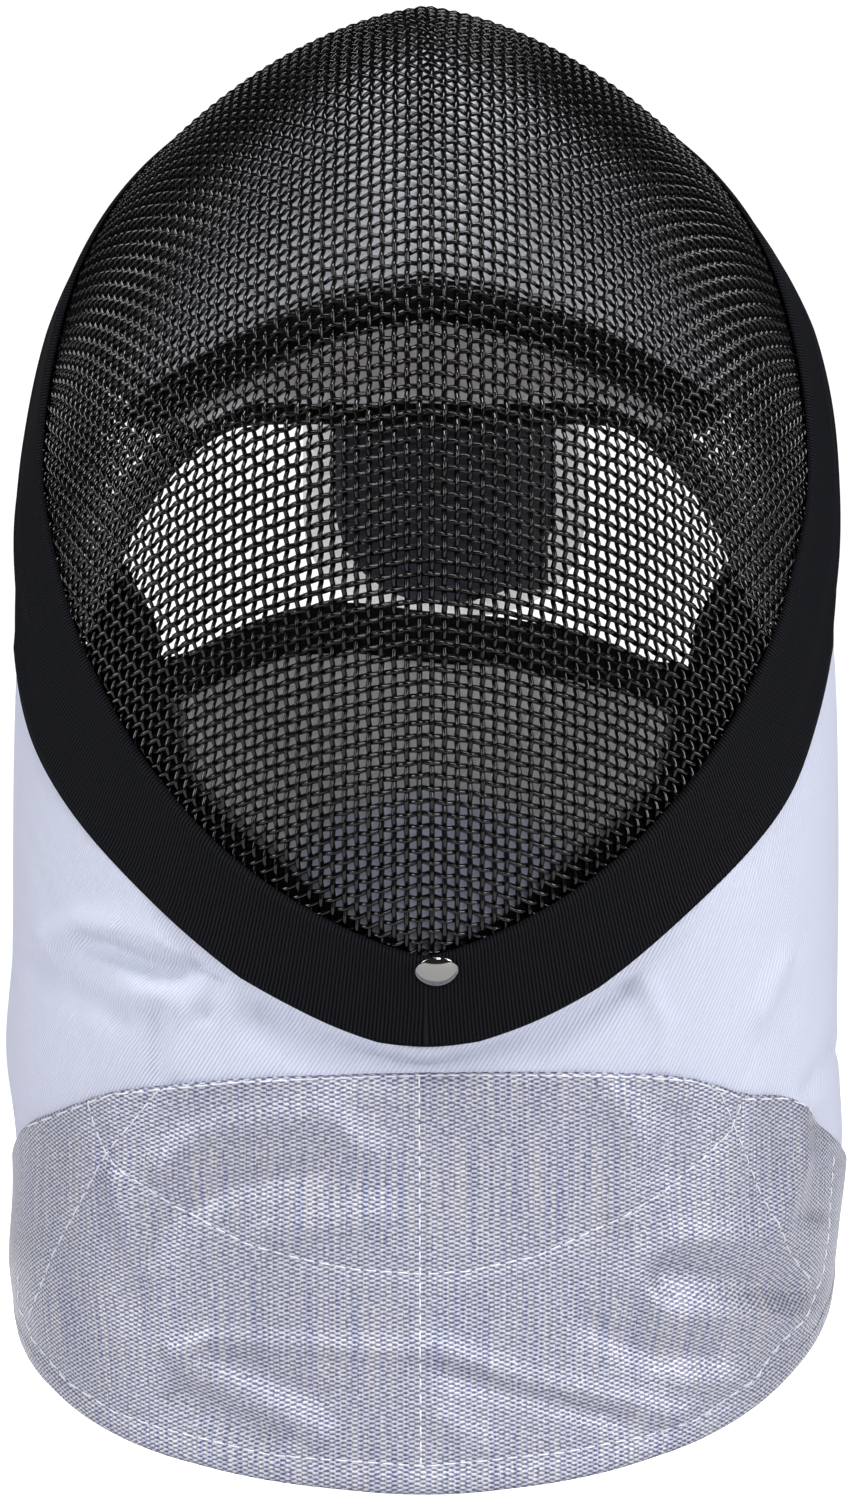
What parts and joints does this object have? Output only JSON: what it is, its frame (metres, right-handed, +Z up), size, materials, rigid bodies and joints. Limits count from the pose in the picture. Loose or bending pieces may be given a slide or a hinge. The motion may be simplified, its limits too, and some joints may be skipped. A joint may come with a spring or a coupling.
{
  "type": "fencing mask",
  "caption": "Wire-mesh fencing mask with a ridged dome, an elastic band round the face, crown and chin linings, a rear spring tongue and a padded bib with a conductive lower panel.",
  "frame": {"origin": "where the top of the wearer's head meets the crown lining, on the mid plane", "axes": "+X to the right as seen from the front, -Y out of the face, +Z up, as worn by a person standing upright"},
  "size_m": [0.2183, 0.2304, 0.3644],
  "materials": {
    "painted_wire": "black paint over steel wire, soft sheen",
    "black_elastic": "ribbed knitted elastic",
    "polished_nickel": "polished nickel",
    "black_binding": "black tape binding",
    "white_cloth": "white twill, slightly lavender",
    "grey_lining": "grey brushed lining",
    "black_cover": "black woven cover",
    "silver_lame": "silver-grey conductive weave, satin"
  },
  "bodies": {
    "root": {"front_mesh": "painted_wire", "rear_mesh": "painted_wire", "edge_band": "black_elastic", "chin_rivet": "polished_nickel", "rear_binding": "black_binding", "crown_pad": "white_cloth", "crown_pad_binding": "black_binding", "chin_pad": "grey_lining", "chin_pad_binding": "black_binding", "rear_tongue": "black_cover", "tongue_backing": "grey_lining", "bib": "white_cloth", "lame_panel": "silver_lame"}
  },
  "joints": []
}
